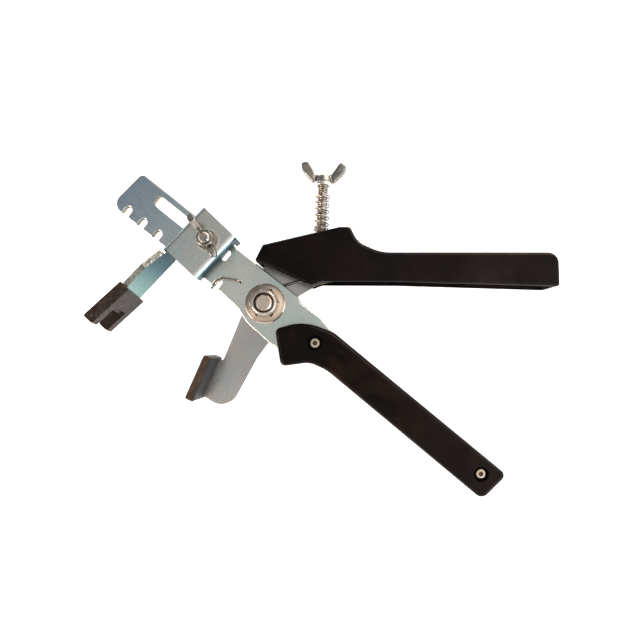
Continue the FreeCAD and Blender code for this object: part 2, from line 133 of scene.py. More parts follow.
# cold-rolled steel sheet, punched, then bright zinc plated and clear passivated: cloudy, faintly tinted
def zincSheet(name, sizes):
    material, tree, shader, coords = newMaterial(name)
    # slow cloudiness of the plating, and the passivation's pink and blue drift
    broad = addNode(tree, "ShaderNodeTexNoise",
                    {"Vector": coords, "Scale": perMetre(sizes["cloudMm"]), "Detail": 2.0,
                     "Roughness": 0.5, "Distortion": 0.4}).outputs["Fac"]
    base = addNode(tree, "ShaderNodeValToRGB", {"Fac": broad},
                   [(0.32, sizes["dark"]), (0.68, sizes["light"])]).outputs["Color"]
    drift = addNode(tree, "ShaderNodeTexNoise",
                    {"Vector": coords, "Scale": perMetre(sizes["cloudMm"] * 0.8), "Detail": 2.0,
                     "Roughness": 0.5, "Distortion": 1.2}).outputs["Fac"]
    tint = addNode(tree, "ShaderNodeValToRGB", {"Fac": drift},
                   [(0.3, sizes["cool"]), (0.7, sizes["warm"])]).outputs["Color"]
    base = addNode(tree, "ShaderNodeMix", {0: sizes["tint"], 6: base, 7: tint}, **colourMix).outputs[2]
    if "far" in sizes:
        # painted shade: the bar turns bluer and darker towards its far end
        reach = addNode(tree, "ShaderNodeMapRange",
                        {"Value": alongFrom(tree, coords, pivot, sizes["along"]),
                         "From Min": sizes["farFrom"], "From Max": sizes["farTo"]}).outputs[0]
        bluerFarShade = addNode(tree, "ShaderNodeMix", {0: 0.6, 6: base, 7: sizes["far"]}, **colourMix).outputs[2]
        base = addNode(tree, "ShaderNodeMix", {0: reach, 6: base, 7: bluerFarShade}, **colourMix).outputs[2]
    # zinc crystals, drawn at 1.3 mm because the real ones are too fine to show
    grain = addNode(tree, "ShaderNodeTexNoise", {"Vector": coords, "Scale": perMetre(1.3), "Detail": 4.0,
                                                 "Roughness": 0.65}).outputs["Fac"]
    speckle = addNode(tree, "ShaderNodeValToRGB", {"Fac": grain}, [(0.3, 0.8), (0.7, 1.0)]).outputs["Color"]
    base = addNode(tree, "ShaderNodeMix", {0: 0.75, 6: base, 7: speckle}, **multiplied).outputs[2]
    # rolling lines along the sheet, and sparse handling scratches across it
    rolling = stretched(tree, coords, sizes["along"], (12, 260, 60))
    lines = addNode(tree, "ShaderNodeTexNoise", {"Vector": rolling, "Scale": 9.0, "Detail": 4.0,
                                                 "Roughness": 0.6}).outputs["Fac"]
    scratchCoords = stretched(tree, coords, Vector((0.55, 0.84, 0)), (18, 900, 90))
    scratch = addNode(tree, "ShaderNodeTexNoise", {"Vector": scratchCoords, "Scale": 4.0,
                                                   "Detail": 2.0}).outputs["Fac"]
    scratches = addNode(tree, "ShaderNodeValToRGB", {"Fac": scratch},
                        [(0.66, 0.0), (0.72, 1.0)]).outputs["Color"]
    # sheared edges have another colour than the faces
    normal = addNode(tree, "ShaderNodeNewGeometry").outputs["Normal"]
    upward = addNode(tree, "ShaderNodeSeparateXYZ", {"Vector": normal}).outputs["Z"]
    flatness = addNode(tree, "ShaderNodeMath", {0: upward}, operation="ABSOLUTE").outputs[0]
    cutEdge = addNode(tree, "ShaderNodeValToRGB", {"Fac": flatness},
                      [(0.4, 1.0), (0.96, 0.0)]).outputs["Color"]
    base = addNode(tree, "ShaderNodeMix", {0: cutEdge, 6: base, 7: sizes["edge"]}, **colourMix).outputs[2]
    marked = addNode(tree, "ShaderNodeMix", {0: scratches, 6: base, 7: "#e8e6e0"}, **colourMix).outputs[2]
    base = addNode(tree, "ShaderNodeMix", {0: 0.2, 6: base, 7: marked}, **colourMix).outputs[2]
    tree.links.new(base, shader.inputs["Base Color"])
    rough = addNode(tree, "ShaderNodeValToRGB", {"Fac": lines},
                    [(0.3, sizes["rough"] - 0.07), (0.7, sizes["rough"] + 0.09)]).outputs["Color"]
    tree.links.new(rough, shader.inputs["Roughness"])
    shader.inputs["Metallic"].default_value = 1.0
    shader.inputs["Specular Tint"].default_value = toLinear(sizes["slant"])
    burr = addNode(tree, "ShaderNodeTexNoise", {"Vector": coords, "Scale": perMetre(0.9), "Detail": 2.0,
                                                "Roughness": 0.7}).outputs["Fac"]
    burrs = addNode(tree, "ShaderNodeMath", {0: burr, 1: cutEdge}, operation="MULTIPLY").outputs[0]
    layers = [(broad, 0.3, 0.4), (lines, 0.05, 0.05), (grain, 0.16, 0.06), (scratch, 0.06, 0.04),
              (burrs, 0.1, 0.1)]
    if "armAlong" in sizes:
        layers.append((armShadeTintAndEdge(tree, shader, coords, base, flatness, sizes), 0.9, 0.35))
    bumpChain(tree, shader, layers)
    return material


# blue-green passivation on the upright faces, darkened towards the bracket as painted shade, and a hammered
# beige edge on the arm
def armShadeTintAndEdge(tree, shader, coords, base, flatness, sizes):
    reach = addNode(tree, "ShaderNodeMapRange",
                    {"Value": alongFrom(tree, coords, sizes["armStart"], sizes["armAlong"]),
                     "From Min": 0.0, "From Max": sizes["armReach"]}).outputs[0]
    # painted shade: the upright faces go from light teal at the fork to near black at the bracket, darkest
    # on its rear wall
    tealAndPaintedShade = addNode(tree, "ShaderNodeValToRGB", {"Fac": reach},
                     [(0.0, "#1b2d34"), (0.35, "#37555e"), (1.0, "#84a097")]).outputs["Color"]
    upright = addNode(tree, "ShaderNodeValToRGB", {"Fac": flatness},
                      [(0.05, 1.0), (0.35, 0.0)]).outputs["Color"]
    tinted = addNode(tree, "ShaderNodeMix", {0: upright, 6: base, 7: tealAndPaintedShade}, **colourMix).outputs[2]
    onArm = addNode(tree, "ShaderNodeValToRGB", {"Fac": reach}, [(0.0, 0.0), (0.06, 1.0)]).outputs["Color"]
    level = addNode(tree, "ShaderNodeValToRGB", {"Fac": flatness},
                    [(0.6, 0.0), (0.95, 1.0)]).outputs["Color"]
    nearEdge = addNode(tree, "ShaderNodeMath", {0: onArm, 1: level}, operation="MULTIPLY").outputs[0]
    dents = addNode(tree, "ShaderNodeTexNoise", {"Vector": coords, "Scale": perMetre(1.7), "Detail": 2.0,
                                                 "Roughness": 0.6}).outputs["Fac"]
    beige = addNode(tree, "ShaderNodeValToRGB", {"Fac": dents},
                    [(0.35, "#a8a092"), (0.6, "#d6cfc2")]).outputs["Color"]
    finished = addNode(tree, "ShaderNodeMix", {0: nearEdge, 6: tinted, 7: beige}, **colourMix).outputs[2]
    tree.links.new(finished, shader.inputs["Base Color"])
    return addNode(tree, "ShaderNodeMath", {0: dents, 1: nearEdge}, operation="MULTIPLY").outputs[0]


# zinc-plated steel turned or headed on a lathe: faint rings round its axis
def turnedSteel(name, light, dark, rough, centre, ringShades=(), socketShade=()):
    material, tree, shader, coords = newMaterial(name)
    spread = addNode(tree, "ShaderNodeTexNoise", {"Vector": coords, "Scale": perMetre(5.0), "Detail": 3.0,
                                                  "Roughness": 0.55}).outputs["Fac"]
    base = addNode(tree, "ShaderNodeValToRGB", {"Fac": spread}, [(0.3, dark), (0.7, light)]).outputs["Color"]
    if socketShade:                              # heights between which a socket's floor darkens
        height = addNode(tree, "ShaderNodeSeparateXYZ", {"Vector": coords}).outputs["Z"]
        socketShadeShare = addNode(tree, "ShaderNodeMapRange", {"Value": height, "From Min": socketShade[0],
                                                     "From Max": socketShade[1]}).outputs[0]
        # painted shade: the socket's floor is painted dark brown
        base = addNode(tree, "ShaderNodeMix", {0: socketShadeShare, 6: "#5b4d42", 7: base}, **colourMix).outputs[2]
    if ringShades:
        # rings of painted shade and painted highlight round the axis
        tint = ringShadeTint(tree, coords, centre, ringShades)
        base = addNode(tree, "ShaderNodeMix", {0: 0.65, 6: base, 7: tint}, **multiplied).outputs[2]
    tree.links.new(base, shader.inputs["Base Color"])
    shader.inputs["Metallic"].default_value = 1.0
    local = addNode(tree, "ShaderNodeMapping", {"Vector": coords, "Location": tuple(-c for c in centre)},
                    vector_type="POINT").outputs[0]
    turning = addNode(tree, "ShaderNodeTexWave",
                      {"Vector": local, "Scale": perMetre(2.2), "Distortion": 0.6, "Detail": 2.0},
                      wave_type="RINGS", rings_direction="Z").outputs["Fac"]
    fine = addNode(tree, "ShaderNodeTexNoise", {"Vector": coords, "Scale": perMetre(0.7), "Detail": 3.0,
                                                "Roughness": 0.6}).outputs["Fac"]
    roughness = addNode(tree, "ShaderNodeValToRGB", {"Fac": fine},
                        [(0.3, rough - 0.06), (0.7, rough + 0.08)]).outputs["Color"]
    tree.links.new(roughness, shader.inputs["Roughness"])
    bumpChain(tree, shader, [(turning, 0.05, 0.04), (fine, 0.06, 0.03)])
    return material


tintReachMm = 12                          # the widest ring that ringShadeTint colours


# colour by distance from an upright axis, in millimetres
def ringShadeTint(tree, coords, centre, stops):
    offset = addNode(tree, "ShaderNodeVectorMath", {0: coords, 1: tuple(centre)}, operation="SUBTRACT")
    flat = addNode(tree, "ShaderNodeVectorMath", {0: offset.outputs[0], 1: (1, 1, 0)}, operation="MULTIPLY")
    radius = addNode(tree, "ShaderNodeVectorMath", {0: flat.outputs[0]}, operation="LENGTH").outputs["Value"]
    share = addNode(tree, "ShaderNodeMath", {0: radius, 1: 1 / (tintReachMm * mm)}, operation="MULTIPLY")
    return addNode(tree, "ShaderNodeValToRGB", {"Fac": share.outputs[0]},
                   [(distance / tintReachMm, tone) for distance, tone in stops]).outputs["Color"]


# die-cast zinc alloy, tumbled and plated: soft edges, slightly pebbled and very bright
def castZinc(name):
    material, tree, shader, coords = newMaterial(name)
    patches = addNode(tree, "ShaderNodeTexNoise", {"Vector": coords, "Scale": perMetre(4.0), "Detail": 3.0,
                                                   "Roughness": 0.6, "Distortion": 0.6}).outputs["Fac"]
    base = addNode(tree, "ShaderNodeValToRGB", {"Fac": patches},
                   [(0.3, "#756f69"), (0.55, "#989189"), (0.75, "#bdb6ae")]).outputs["Color"]
    tree.links.new(base, shader.inputs["Base Color"])
    shader.inputs["Metallic"].default_value = 1.0
    shader.inputs["Specular Tint"].default_value = toLinear("#a39c94")
    pebble = addNode(tree, "ShaderNodeTexNoise", {"Vector": coords, "Scale": perMetre(0.8), "Detail": 3.0,
                                                  "Roughness": 0.6}).outputs["Fac"]
    dents = addNode(tree, "ShaderNodeTexNoise", {"Vector": coords, "Scale": perMetre(2.4), "Detail": 2.0,
                                                 "Roughness": 0.5}).outputs["Fac"]
    rough = addNode(tree, "ShaderNodeValToRGB", {"Fac": pebble}, [(0.3, 0.26), (0.7, 0.4)]).outputs["Color"]
    tree.links.new(rough, shader.inputs["Roughness"])
    bumpChain(tree, shader, [(dents, 0.08, 0.15), (pebble, 0.05, 0.04)])
    return material


# drawn spring wire, plated: fine marks along the wire and a dull sheen
def springWire(name, hexColour):
    material, tree, shader, coords = newMaterial(name)
    marks = addNode(tree, "ShaderNodeTexNoise", {"Vector": coords, "Scale": perMetre(0.5), "Detail": 4.0,
                                                 "Roughness": 0.7}).outputs["Fac"]
    patches = addNode(tree, "ShaderNodeTexNoise", {"Vector": coords, "Scale": perMetre(3.0), "Detail": 2.0,
                                                   "Roughness": 0.55}).outputs["Fac"]
    base = addNode(tree, "ShaderNodeMix", {0: patches, 6: hexColour, 7: "#b3aaa0"}, **colourMix).outputs[2]
    tree.links.new(base, shader.inputs["Base Color"])
    shader.inputs["Metallic"].default_value = 1.0
    rough = addNode(tree, "ShaderNodeValToRGB", {"Fac": marks}, [(0.3, 0.2), (0.7, 0.38)]).outputs["Color"]
    tree.links.new(rough, shader.inputs["Roughness"])
    bumpChain(tree, shader, [(marks, 0.2, 0.05)])
    return material


# glass-filled nylon, injection moulded in a spark-eroded tool: satin black with flow marks
def mouldedPlastic(name, sizes):
    material, tree, shader, coords = newMaterial(name)
    flowCoords = stretched(tree, coords, sizes["along"], (14, 55, 40))
    flow = addNode(tree, "ShaderNodeTexNoise", {"Vector": flowCoords, "Scale": 1.0, "Detail": 3.0,
                                                "Distortion": 0.6}).outputs["Fac"]
    base = addNode(tree, "ShaderNodeValToRGB", {"Fac": flow},
                   [(0.3, sizes["dark"]), (0.7, sizes["light"])]).outputs["Color"]
    # brown patches painted on the black: painted sheen
    brownSheen = addNode(tree, "ShaderNodeTexNoise", {"Vector": coords, "Scale": perMetre(26.0), "Detail": 3.0,
                                                 "Roughness": 0.6, "Distortion": 0.8}).outputs["Fac"]
    brownSheenShare = addNode(tree, "ShaderNodeValToRGB", {"Fac": brownSheen},
                      [(0.45, 0.0), (0.72, 0.75)]).outputs["Color"]
    base = addNode(tree, "ShaderNodeMix", {0: brownSheenShare, 6: base, 7: sizes["brownSheen"]}, **colourMix).outputs[2]
    # paler towards the far end: painted sheen
    endSheenShare = addNode(tree, "ShaderNodeMapRange",
                   {"Value": alongFrom(tree, coords, pivot, sizes["along"]), "From Min": sizes["sheenFrom"],
                    "From Max": sizes["sheenTo"], "To Max": 0.9}).outputs[0]
    endSheenMask = addNode(tree, "ShaderNodeMath", {0: endSheenShare, 1: brownSheen}, operation="MULTIPLY").outputs[0]
    base = addNode(tree, "ShaderNodeMix", {0: endSheenMask, 6: base, 7: sizes["endSheen"]}, **colourMix).outputs[2]
    # faint handling shine: smoother patches, also painted paler as painted sheen
    rub = addNode(tree, "ShaderNodeTexNoise", {"Vector": coords, "Scale": perMetre(9.0), "Detail": 4.0,
                                               "Roughness": 0.7, "Distortion": 0.5}).outputs["Fac"]
    rubbedSheen = addNode(tree, "ShaderNodeValToRGB", {"Fac": rub}, [(0.55, 0.0), (0.78, 0.3)]).outputs["Color"]
    base = addNode(tree, "ShaderNodeMix", {0: rubbedSheen, 6: base, 7: sizes["rubbedSheen"]}, **colourMix).outputs[2]
    tree.links.new(base, shader.inputs["Base Color"])
    # the mould's eroded texture, drawn coarser than it is so that it shows
    grain = addNode(tree, "ShaderNodeTexNoise",
                    {"Vector": coords, "Scale": perMetre(sizes["grainMm"]), "Detail": 3.0,
                     "Roughness": 0.6}).outputs["Fac"]
    rough = addNode(tree, "ShaderNodeValToRGB", {"Fac": grain},
                    [(0.3, sizes["rough"] - 0.05), (0.7, sizes["rough"] + 0.1)]).outputs["Color"]
    shine = addNode(tree, "ShaderNodeMath", {0: rubbedSheen, 1: 0.25}, operation="MULTIPLY").outputs[0]
    smoother = addNode(tree, "ShaderNodeMath", {0: rough, 1: shine}, operation="SUBTRACT").outputs[0]
    tree.links.new(smoother, shader.inputs["Roughness"])
    shader.inputs["IOR"].default_value = 1.5
    shader.inputs["Specular IOR Level"].default_value = 0.07
    shader.inputs["Specular Tint"].default_value = toLinear("#ffeee4")
    sink = addNode(tree, "ShaderNodeTexNoise", {"Vector": coords, "Scale": perMetre(30.0), "Detail": 1.0,
                                                "Roughness": 0.55}).outputs["Fac"]
    bumpChain(tree, shader, [(sink, 0.5, 0.35), (flow, 0.12, 0.15), (grain, 0.28, 0.08)])
    return material


# hard moulded rubber, brown-black, rubbed paler where it has been pressed and wiped
def hardRubber(name, sizes):
    material, tree, shader, coords = newMaterial(name)
    streakCoords = stretched(tree, coords, sizes["streakAlong"], (60, 260, 120))
    streak = addNode(tree, "ShaderNodeTexNoise", {"Vector": streakCoords, "Scale": 1.2, "Detail": 4.0,
                                                  "Roughness": 0.6}).outputs["Fac"]
    base = addNode(tree, "ShaderNodeValToRGB", {"Fac": streak},
                   [(0.25, sizes["dark"]), (0.75, sizes["light"])]).outputs["Color"]
    dust = addNode(tree, "ShaderNodeTexNoise", {"Vector": coords, "Scale": perMetre(2.2), "Detail": 4.0,
                                                "Roughness": 0.7}).outputs["Fac"]
    dusty = addNode(tree, "ShaderNodeValToRGB", {"Fac": dust}, [(0.5, 0.0), (0.85, 0.35)]).outputs["Color"]
    base = addNode(tree, "ShaderNodeMix", {0: dusty, 6: base, 7: "#826d62"}, **colourMix).outputs[2]
    if "face" in sizes:
        # the back is painted blue-black: painted shade beside the lever
        point, outward = sizes["face"]
        paintedBackShade = addNode(tree, "ShaderNodeMapRange",
                       {"Value": alongFrom(tree, coords, point, outward), "From Min": -4.6 * mm,
                        "From Max": -4.0 * mm, "To Min": 0.9, "To Max": 0.0}).outputs[0]
        base = addNode(tree, "ShaderNodeMix", {0: paintedBackShade, 6: base, 7: "#17191c"}, **colourMix).outputs[2]
    tree.links.new(base, shader.inputs["Base Color"])
    grain = addNode(tree, "ShaderNodeTexNoise", {"Vector": coords, "Scale": perMetre(0.6), "Detail": 3.0,
                                                 "Roughness": 0.6}).outputs["Fac"]
    rough = addNode(tree, "ShaderNodeValToRGB", {"Fac": grain}, [(0.3, 0.46), (0.7, 0.64)]).outputs["Color"]
    tree.links.new(rough, shader.inputs["Roughness"])
    shader.inputs["IOR"].default_value = 1.52
    shader.inputs["Specular IOR Level"].default_value = 0.22
    bumpChain(tree, shader, [(streak, 0.15, 0.12), (grain, 0.3, 0.09)])
    return material


def dress(names, material):
    for name in names:
        piece = frame["nodes"][name]
        piece.data.materials.clear()
        piece.data.materials.append(material)


# slant is the plating's colour seen at a slant, where the sheared edges look duller
# far is the colour of the painted shade towards the bar's tip
barLooks = {"cloudMm": 34.0, "dark": "#cbd1cc", "light": "#e0e4dc", "cool": "#c0cfd0", "warm": "#e6d6ca",
            "tint": 0.4, "far": "#a3b5cc", "farFrom": 30 * mm, "farTo": 100 * mm, "edge": "#989083",
            "rough": 0.30, "slant": "#8f877c", "along": barTip}
leverLooks = {"cloudMm": 28.0, "dark": "#b9b4b1", "light": "#cfc8c3", "cool": "#b9c2c8", "warm": "#d9c4ba",
              "tint": 0.45, "edge": "#a0978b", "rough": 0.30, "slant": "#8f877c",
              "along": Vector((0.4, 0.9, 0))}
# on the bracket the blue edge colour lies on the rounded bend and colours its highlight blue: a painted
# highlight tint
bracketLooks = {"cloudMm": 22.0, "dark": "#d4d2cc", "light": "#eae6de", "cool": "#cfdcdb", "warm": "#ecd0be",
                "tint": 0.55, "edge": "#86b0c4", "rough": 0.24, "slant": "#e2eaee", "along": barSide,
                "armStart": bracketFoot, "armAlong": armAlong, "armReach": 30 * mm}
barSheet = zincSheet("zincPlatedSheetBar", barLooks)
leverSheet = zincSheet("zincPlatedSheetLever", leverLooks)
bracketSheet = zincSheet("zincPlatedSheetBracket", bracketLooks)

# ring colours by radius in mm: bolt end, nut and its rim, then the washer's dish and its edge; the dark
# rings are painted shade and the pale rings painted highlight
pivotRingShades = [(3.6, "#fff4ea"), (4.3, "#b09c8e"), (5.0, "#fff4ea"), (6.8, "#e8dace"), (7.6, "#a08e82")]
washerRingShades = [(0.0, "#fff4ea"), (7.6, "#b0a094"), (8.6, "#f4e2d4"), (10.0, "#cbb8aa"), (10.4, "#8f7d72"),
               (10.8, "#fff4e8")]
# heights of the painted shade in the sockets of the grip's screws
gripSocketShade = (19.75 * mm, 20.1 * mm)      # floor and rim of the sockets in the grip's screws
pivotSteel = turnedSteel("turnedZincPlatedSteel", "#f4ece1", "#cfc1b4", 0.2, pivot, pivotRingShades)
washerSteel = turnedSteel("pressedWasherSteel", "#f0e0d0", "#d2bfb0", 0.26, pivot, washerRingShades)
smallScrewSteel = turnedSteel("headedScrewSteel", "#f6efe4", "#c9c0b4", 0.24, (0, 0, 0))
threadSteel = turnedSteel("rolledThreadSteel", "#c2b6aa", "#83766c", 0.28, (0, 0, 0))
gripScrewSteel = turnedSteel("socketScrewSteel", "#f0dcc6", "#c4ae98", 0.26, (0, 0, 0), (), gripSocketShade)
wingCasting = castZinc("dieCastZinc")
coilWire = springWire("drawnSpringWire", "#8e867e")
# the return spring's wire is painted darker: painted shade along the wire
shadedReturnWire = springWire("drawnSpringWireShaded", "#5f5a56")

handleLooks = {"along": Vector((1, 0, 0)), "dark": "#030303", "light": "#080606", "endSheen": "#261f1d",
               "sheenFrom": 20 * mm, "sheenTo": 135 * mm, "rubbedSheen": "#1b1412", "brownSheen": "#100b09",
               "rough": 0.3, "grainMm": 0.7}
gripLooks = {"along": barTip, "dark": "#040303", "light": "#0b0807", "endSheen": "#1c1614",
             "sheenFrom": -40 * mm, "sheenTo": -135 * mm, "rubbedSheen": "#1c1513", "brownSheen": "#20130e",
             "rough": 0.3, "grainMm": 0.7}
ringLooks = {"along": Vector((1, 0, 0)), "dark": "#1e1c1e", "light": "#2b292b", "endSheen": "#2b292b",
             "sheenFrom": 20 * mm, "sheenTo": 135 * mm, "rubbedSheen": "#3a3638", "brownSheen": "#2c292c",
             "rough": 0.45, "grainMm": 0.5}
handlePlastic = mouldedPlastic("mouldedNylonHandle", handleLooks)
gripPlastic = mouldedPlastic("mouldedNylonGrip", gripLooks)
lockingNylon = mouldedPlastic("nylonLockingRing", ringLooks)

streakAlong = Vector((0.7, 0.72, 0))
padMount = next(mount for mount in frame["record"]["mounts"] if mount["name"] == "pad_face")
forkLooks = {"dark": "#150c08", "light": "#271a13", "streakAlong": streakAlong}
padLooks = {"dark": "#271a12", "light": "#412d20", "streakAlong": streakAlong,
            "face": (padMount["pos_m"], padMount["axis"])}
forkRubber = hardRubber("hardRubberFork", forkLooks)
padRubber = hardRubber("hardRubberPad", padLooks)

dress(["body_plate"], barSheet)
dress(["lever_plate"], leverSheet)
dress(["carriage_bracket", "clamp_plate"], bracketSheet)
dress(["pivot_bolt", "pivot_nut", "pivot_sleeve", "pivot_back_washer"], pivotSteel)
dress(["pivot_washer"], washerSteel)
dress(["grip_screws"], gripScrewSteel)
dress(["clamp_washer", "grip_nuts", "handle_screws", "adjuster_nut", "adjuster_washer"], smallScrewSteel)
dress(["clamp_bolt"], threadSteel)
dress(["upper_handle"], handlePlastic)
dress(["grip_front_shell", "grip_back_shell"], gripPlastic)
dress(["nut_locking_ring"], lockingNylon)
dress(["fork_shoe"], forkRubber)
dress(["jaw_pad"], padRubber)
print("materials on the kept parts")


punchedRims = {"rollOver": 0.4 * mm, "steps": 3, "sharperThan": math.radians(40)}


# punching rolls the sheet's edge over: a narrow rounded rim on each sheet part
def roundRims(names, sizes):
    for name in names:
        piece = frame["nodes"][name]
        weld = piece.modifiers.new("weld", "WELD")
        weld.merge_threshold = 0.001 * mm
        bevel = piece.modifiers.new("rim", "BEVEL")
        bevel.width = sizes["rollOver"]
        bevel.segments = sizes["steps"]
        bevel.limit_method = "ANGLE"
        bevel.angle_limit = sizes["sharperThan"]
        bevel.use_clamp_overlap = True


roundRims(["body_plate", "lever_plate"], punchedRims)


# geometry nodes helpers
def newTree(name, sizes):
    tree = bpy.data.node_groups.new(name, "GeometryNodeTree")
    for label, value in sizes.items():
        kind = "NodeSocketInt" if isinstance(value, int) else "NodeSocketFloat"
        tree.interface.new_socket(label, in_out="INPUT", socket_type=kind)
    tree.interface.new_socket("Geometry", in_out="OUTPUT", socket_type="NodeSocketGeometry")
    return tree, addNode(tree, "NodeGroupInput").outputs


def finishTree(tree, spans, material):
    joined = addNode(tree, "GeometryNodeJoinGeometry")
    for span in spans:
        tree.links.new(span, joined.inputs[0])
    real = addNode(tree, "GeometryNodeRealizeInstances", {"Geometry": joined.outputs[0]}).outputs[0]
    painted = addNode(tree, "GeometryNodeSetMaterial", {"Geometry": real, "Material": material}).outputs[0]
    addNode(tree, "NodeGroupOutput", {"Geometry": painted})


# runs the tree on an empty mesh and keeps the result as a plain mesh at its place
def growTree(name, tree, sizes, place):
    holder = bpy.data.objects.new(name + "Holder", bpy.data.meshes.new(name + "Seed"))
    bpy.context.scene.collection.objects.link(holder)
    modifier = holder.modifiers.new("grow", "NODES")
    modifier.node_group = tree
    for item in tree.interface.items_tree:
        if item.in_out == "INPUT":
            modifier[item.identifier] = sizes[item.name]
    depsgraph = bpy.context.evaluated_depsgraph_get()
    mesh = bpy.data.meshes.new_from_object(holder.evaluated_get(depsgraph), depsgraph=depsgraph)
    holder.modifiers.remove(modifier)
    bpy.data.objects.remove(holder)
    mesh.transform(place)
    mesh.name = name
    return addPiece(name, mesh)


def addPiece(name, mesh):
    piece = bpy.data.objects.new(name, mesh)
    bpy.context.scene.collection.objects.link(piece)
    for face in mesh.polygons:
        face.use_smooth = True
    return piece


# a placing matrix with Z along upward, and X as near world up as it can be
def frameAt(origin, upward):
    zAxis = upward.normalized()
    worldUp = Vector((0, 0, 1))
    xAxis = (worldUp - zAxis * worldUp.dot(zAxis)).normalized()
    yAxis = zAxis.cross(xAxis)
    return Matrix.Translation(origin) @ Matrix((xAxis, yAxis, zAxis)).transposed().to_4x4()


# compression spring on the adjusting screw, its foot start below the screw's seat
compressionSpring = {"wire": 0.42 * mm, "coilRadius": 3.9 * mm, "turns": 5, "height": 17.6 * mm,
                     "closed": 0.95 * mm, "start": 24.95 * mm, "squashed": 0.87}


# a closed turn, the open coils, and a closed turn again
def makeCompressionSpring(sizes):
    inputs = {"Wire Radius": sizes["wire"], "Coil Radius": sizes["coilRadius"], "Turns": sizes["turns"],
              "Height": sizes["height"], "Closed Pitch": sizes["closed"]}
    tree, given = newTree("springCoil", inputs)
    profile = addNode(tree, "GeometryNodeCurvePrimitiveCircle",
                      {"Resolution": 12, "Radius": given["Wire Radius"]}).outputs[0]
    closedTurn = (1, given["Closed Pitch"])
    lift = 0.0
    spans = []
    for turns, height in (closedTurn, (given["Turns"], given["Height"]), closedTurn):
        spiral = addNode(tree, "GeometryNodeCurveSpiral",
                         {"Resolution": 40, "Rotations": turns, "Start Radius": given["Coil Radius"],
                          "End Radius": given["Coil Radius"], "Height": height}).outputs[0]
        offset = addNode(tree, "ShaderNodeCombineXYZ", {"Z": lift}).outputs[0]
        moved = addNode(tree, "GeometryNodeTransform",
                        {"Geometry": spiral, "Translation": offset}).outputs[0]
        spans.append(addNode(tree, "GeometryNodeCurveToMesh", {"Curve": moved, "Profile Curve": profile,
                                                               "Fill Caps": True}).outputs[0])
        lift = addNode(tree, "ShaderNodeMath", {0: lift, 1: height}, operation="ADD").outputs[0]
    finishTree(tree, spans, coilWire)
    foot = screwSeat + screwDown * sizes["start"]
    spring = growTree("adjusterCoilSpring", tree, inputs, frameAt(foot, -screwDown))
    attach(spring, "lever")
    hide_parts("adjuster_spring")
    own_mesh(spring)


makeCompressionSpring(compressionSpring)

# adjusting wing screw: M6 thread and a cast head
m6Thread = {"pitch": 1.0 * mm, "coreRadius": 2.46 * mm, "crest": 0.5 * mm, "length": 49.4 * mm, "turns": 50,
            "underHead": 0.6 * mm}


# a single-start V thread round a core, closed at both ends
def makeThread(name, sizes, place, material):
    inputs = {"Core Radius": sizes["coreRadius"], "Crest": sizes["crest"], "Pitch": sizes["pitch"],
              "Turns": sizes["turns"]}
    tree, given = newTree(name + "Tree", inputs)
    height = addNode(tree, "ShaderNodeMath", {0: given["Pitch"], 1: given["Turns"]},
                     operation="MULTIPLY").outputs[0]
    spiral = addNode(tree, "GeometryNodeCurveSpiral",
                     {"Resolution": 28, "Rotations": given["Turns"], "Start Radius": given["Core Radius"],
                      "End Radius": given["Core Radius"], "Height": height}).outputs[0]
    upright = addNode(tree, "GeometryNodeSetCurveNormal", {0: spiral}, mode="Z_UP").outputs[0]
    ridge = addNode(tree, "GeometryNodeCurvePrimitiveCircle",
                    {"Resolution": 4, "Radius": given["Crest"]}).outputs[0]
    thread = addNode(tree, "GeometryNodeCurveToMesh", {"Curve": upright, "Profile Curve": ridge,
                                                       "Fill Caps": True}).outputs[0]
    core = addNode(tree, "GeometryNodeMeshCylinder",
                   {"Vertices": 40, "Radius": given["Core Radius"], "Depth": height}).outputs["Mesh"]
    half = addNode(tree, "ShaderNodeMath", {0: height, 1: 0.5}, operation="MULTIPLY").outputs[0]
    lift = addNode(tree, "ShaderNodeCombineXYZ", {"Z": half}).outputs[0]
    core = addNode(tree, "GeometryNodeTransform", {"Geometry": core, "Translation": lift}).outputs[0]
    finishTree(tree, [thread, core], material)
    return growTree(name, tree, inputs, place)


# tumbling rounds a casting; its wings, outside the boss, are a little fuller than the plain solid
castShape = {"bossRadius": 4.2 * mm, "blend": 2.0 * mm, "fuller": 0.55 * mm, "voxel": 0.26 * mm, "rounds": 5}


